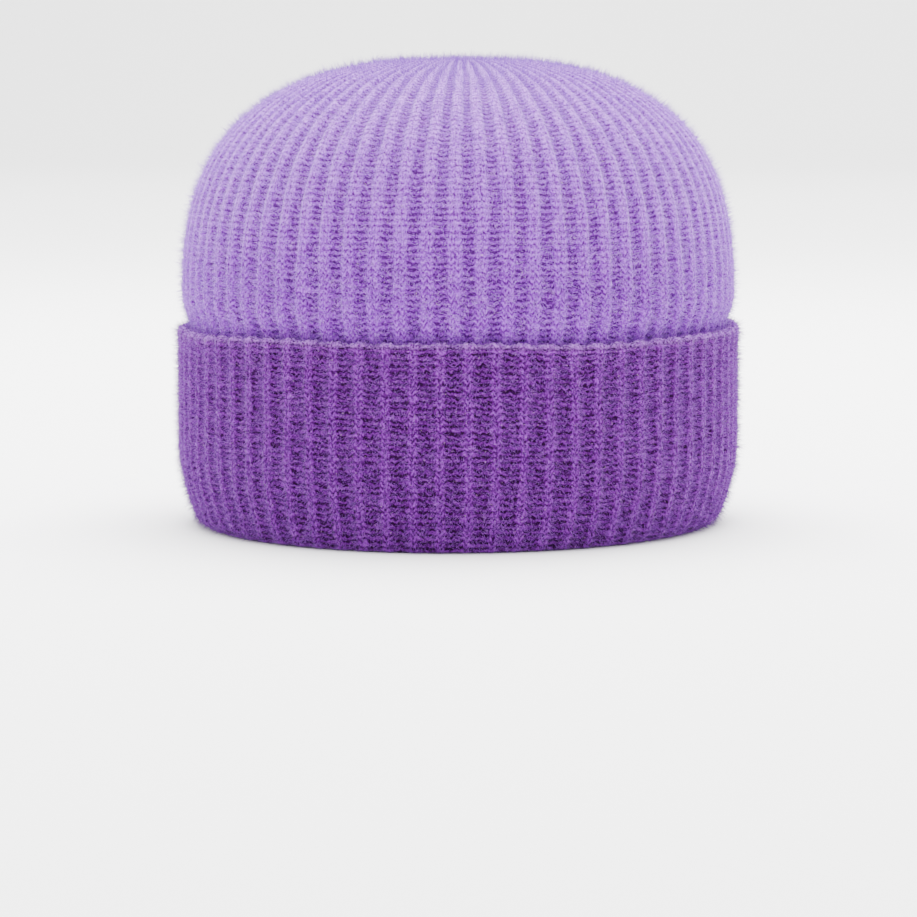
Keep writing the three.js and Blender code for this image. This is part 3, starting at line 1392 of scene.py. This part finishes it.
@dataclass
class Cuff(CapLayer):
    """The turned-up band with the fold that the cap stands on, as one closed ring.

    Attributes:
        lines_per_row: lines of the mesh in a row.
        fold_lines: lines round the fold.
        edge_lines: lines over the top edge.
        inside_lines: lines on the inner face.
        settle: distance over which stitches and ribs fade towards fold and edge.
        edge_ribs: how much of the ribs stays on the edge.
        edge_wave: how far the edge rises and falls round the cap.
        edge_loop: how far the loops of the cast-on edge stand out.
        loop_twist: how far the loops lean over the edge, in stitches.
        loop_middle: where over the edge they are fullest, from 0 on the outside to 1 on the inside.
        loop_fade: how softly they end.
        highlight_before: rows under the edge where the painted highlight on the top edge starts.
        highlight_after: rows past the edge where that painted highlight is strongest.
    """

    node = "cuff"
    seed = 23
    RIPPLES = (Ripple(share=1.0, times_round=3, start=1.0), Ripple(share=0.6, times_round=8, start=0.0))

    lines_per_row: int = 2
    fold_lines: int = 5
    edge_lines: int = 8
    inside_lines: int = 4
    settle: float = 3 * MM
    edge_ribs: float = 0.55
    edge_wave: float = 0.45 * MM
    edge_loop: float = 0.28 * MM
    loop_twist: float = 0.6
    loop_middle: float = 0.3
    loop_fade: float = 0.5
    # Painted highlight along the top edge, which turns up to the light from above.
    highlight_before: float = 0.6
    highlight_after: float = 0.9
    lowest_fibre: float = 0.5 * MM

    @property
    def painted_highlight_rows(self) -> Pair:
        """Rows between which the knit is painted paler, a painted highlight where the outer face turns over
        its top edge.
        """
        last = CuffSection(self.form).edge_start / self.form.gauge.row_height
        return last - self.highlight_before, last + self.highlight_after

    def lines(self, path: CuffSection) -> np.ndarray:
        """Lines of the mesh round the section, with the last one back at the start.

        Args:
            path: the cuff's section.

        Returns:
            How far along the section each line is.
        """
        step = self.form.gauge.row_height / self.lines_per_row
        first = math.ceil(path.floor_end / step) * step
        return np.concatenate([
            np.linspace(0, first, self.fold_lines + 1)[:-1],
            np.arange(first, path.edge_start - step / 2, step),
            np.linspace(path.edge_start, path.edge_end, self.edge_lines),
            np.linspace(path.edge_end, path.inside_end, self.inside_lines + 1)[1:],
            [0.0],
        ])

    def loops(self, stitch: np.ndarray, past_edge: np.ndarray) -> np.ndarray:
        """Twisted loops of the cast-on edge.

        Args:
            stitch: stitch coordinates.
            past_edge: how far over the edge, from 0 on the outside to 1 on the inside.

        Returns:
            How far the loops stand out.
        """
        round_the_cap = np.cos(TURN * (stitch + self.loop_twist * past_edge))
        over_the_edge = ramp(1 - 2 * np.abs(past_edge - self.loop_middle), 0, self.loop_fade)
        return self.edge_loop * (round_the_cap * over_the_edge)

    def build(self) -> bpy.types.Object:
        """Bends a sheet of quads round the section and round the cap.

        Returns:
            The cuff's object.
        """
        form, gauge = self.form, self.form.gauge
        knit = Knit(form, self.yarn.layer, self.seed)
        path = CuffSection(form)
        distances = self.lines(path)
        sheet = KnitMesh("cuff_knit", gauge.columns, len(distances))
        stitch = sheet.column / gauge.points_per_stitch
        distance = distances[sheet.line]
        row = distance / gauge.row_height

        risen = ramp(distance, path.floor_end, path.floor_end + self.settle)
        below_edge = ramp(path.edge_start - distance, 0, self.settle)
        offset, level, out, up = path.read(distance + knit.shift(stitch, row) * risen * below_edge)
        width, depth = form.wall_at(level)
        angle = knit.angle(stitch, row)
        outward = unit(np.stack([np.cos(angle) / width, np.sin(angle) / depth], axis=1))
        past_edge = (distance - path.edge_start) / (path.edge_end - path.edge_start)
        relief = knit.relief(stitch, row) * risen * below_edge + self.loops(stitch, past_edge)
        ribs = knit.rib_wave(stitch) * gauge.rib_depth / 2 * ramp(level, 0, self.settle)
        ribs = ribs * (self.edge_ribs + (1 - self.edge_ribs) * ramp(form.cuff_height - level, 0, self.settle))
        hidden = distance > path.edge_end
        reach = offset + np.where(hidden, ribs, (ribs + relief) * out)
        lift = np.where(hidden, 0.0, (ribs + relief) * up)
        wave = self.edge_wave * sum(ripple.at(angle) for ripple in self.RIPPLES) * level / form.cuff_height
        points = np.stack([
            width * np.cos(angle) + outward[:, 0] * reach,
            depth * np.sin(angle) + outward[:, 1] * reach,
            np.maximum(level + lift + wave, 0.0),
        ], axis=1)
        sheet.bend(points, stitch, row)
        return sheet.close()


@dataclass(frozen=True)
class Backdrop:
    """Plain pale floor from a near to a far line, where it curves up behind the cap in so many steps."""

    half_width: float = 8.0
    near: float = -6.0
    far: float = 5.0
    radius: float = 2.5
    top: float = 9.0
    steps: int = 12
    colour: Colour = (0.95, 0.95, 0.95)
    roughness: float = 0.95

    def build(self) -> bpy.types.Object:
        """Sweeps the floor's side line across.

        Returns:
            The floor's object.
        """
        sweep = bmesh.new()
        turns = [step / self.steps * QUARTER for step in range(1, self.steps + 1)]
        curve = [(math.sin(turn), 1 - math.cos(turn)) for turn in turns]
        rise = [(self.far + self.radius * y, self.radius * z) for y, z in curve]
        line = [(self.near, 0.0), (self.far, 0.0), *rise, (self.far + self.radius, self.top)]
        corners = [sweep.verts.new((-self.half_width, y, z)) for y, z in line]
        edges = [sweep.edges.new(pair) for pair in zip(corners, corners[1:])]
        grown = bmesh.ops.extrude_edge_only(sweep, edges=edges)["geom"]
        moved = [item for item in grown if isinstance(item, bmesh.types.BMVert)]
        bmesh.ops.translate(sweep, verts=moved, vec=(2 * self.half_width, 0, 0))
        bmesh.ops.recalc_face_normals(sweep, faces=sweep.faces)
        for face in sweep.faces:
            face.smooth = True
        mesh = bpy.data.meshes.new("floor")
        sweep.to_mesh(mesh)
        sweep.free()
        return add_object(mesh, "floor")

    def dress(self, floor: bpy.types.Object) -> None:
        """Gives the floor its finish.

        Args:
            floor: the floor's object.
        """
        paint = bpy.data.materials.new("pale_floor")
        paint.use_nodes = True
        shader = paint.node_tree.nodes["Principled BSDF"]
        shader.inputs["Base Color"].default_value = (*self.colour, 1)
        shader.inputs["Roughness"].default_value = self.roughness
        floor.data.materials.append(paint)


@dataclass(frozen=True)
class Lamp:
    """A soft square light, with its side in metres and its power in watts."""

    name: str
    place: Triple
    aim: Triple
    size: float
    power: float

    def build(self) -> None:
        """Hangs the light and points it at its aim."""
        data = bpy.data.lights.new(self.name, "AREA")
        data.shape, data.size, data.energy = "SQUARE", self.size, self.power
        lamp = bpy.data.objects.new(self.name, data)
        lamp.location = self.place
        lamp.rotation_euler = (Vector(self.aim) - Vector(self.place)).to_track_quat("-Z", "Y").to_euler()
        bpy.context.scene.collection.objects.link(lamp)


@dataclass
class Studio:
    """Soft light, pale surroundings and the camera.

    Attributes:
        azimuth: how far right of the front the camera stands, in degrees.
        elevation: how far above the floor it looks from, in degrees.
        frame_pixels: width and height of the picture.
        pixels_per_metre: scale of the cap in it.
        cap_centre_row: row of the picture where the cap's middle is.
        sensor: width of the camera's sensor in millimetres.
    """

    azimuth: float = 5.5
    elevation: float = 3.0
    distance: float = 1.35
    frame_pixels: int = 917
    pixels_per_metre: float = 3100.0
    cap_centre_row: float = 290.0
    sensor: float = 36.0
    room_strength: float = 1.6

    CAP = (0.0, 0.0, 0.07)
    LAMPS = (
        Lamp("overhead", place=(0.0, 0.5, 1.6), aim=CAP, size=1.8, power=205.0),
        Lamp("front", place=(-0.4, -2.2, 1.1), aim=CAP, size=1.4, power=9.0),
        Lamp("backdrop", place=(0.0, 2.5, 3.5), aim=(0.0, 7.5, 0.5), size=3.0, power=500.0),
    )

    def light(self) -> None:
        """Sets the soft lights and the pale surroundings."""
        for lamp in self.LAMPS:
            lamp.build()
        world = bpy.data.worlds.new("pale_room")
        world.use_nodes = True
        background = world.node_tree.nodes["Background"]
        background.inputs["Color"].default_value = (1.0, 1.0, 1.0, 1)
        background.inputs["Strength"].default_value = self.room_strength
        bpy.context.scene.world = world

    def place_camera(self) -> None:
        """Sets the camera at the photograph's side of the cap, just above the floor."""
        low, high = cad_box
        middle = Vector(((low[0] + high[0]) / 2, 0, (low[2] + high[2]) / 2))
        turn, rise = math.radians(self.azimuth), math.radians(self.elevation)
        away = Vector((math.sin(turn) * math.cos(rise), -math.cos(turn) * math.cos(rise), math.sin(rise)))
        below = (self.frame_pixels / 2 - self.cap_centre_row) / self.pixels_per_metre
        data = bpy.data.cameras.new("camera")
        data.sensor_fit, data.sensor_width = "HORIZONTAL", self.sensor
        data.lens = self.sensor * self.pixels_per_metre * self.distance / self.frame_pixels
        camera = bpy.data.objects.new("camera", data)
        camera.location = middle + away * self.distance
        looking = middle - Vector((0, 0, below)) - camera.location
        camera.rotation_euler = looking.to_track_quat("-Z", "Y").to_euler()
        bpy.context.scene.collection.objects.link(camera)
        bpy.context.scene.camera = camera


def main() -> None:
    """Builds and dresses the cap's layers, reports each piece and sets the stage."""
    form = CapForm.from_frame(Gauge())
    for layer in (Crown(form, LIT_CROWN_YARN, LIT_CROWN_FIBRE), Cuff(form, SHADED_CUFF_YARN, SHADED_CUFF_FIBRE)):
        for piece in layer.dress(layer.build()):
            log.info("%s: %d faces", piece.name, len(piece.data.polygons))
    backdrop = Backdrop()
    backdrop.dress(backdrop.build())
    studio = Studio()
    studio.light()
    studio.place_camera()


if __name__ == "__main__":
    main()
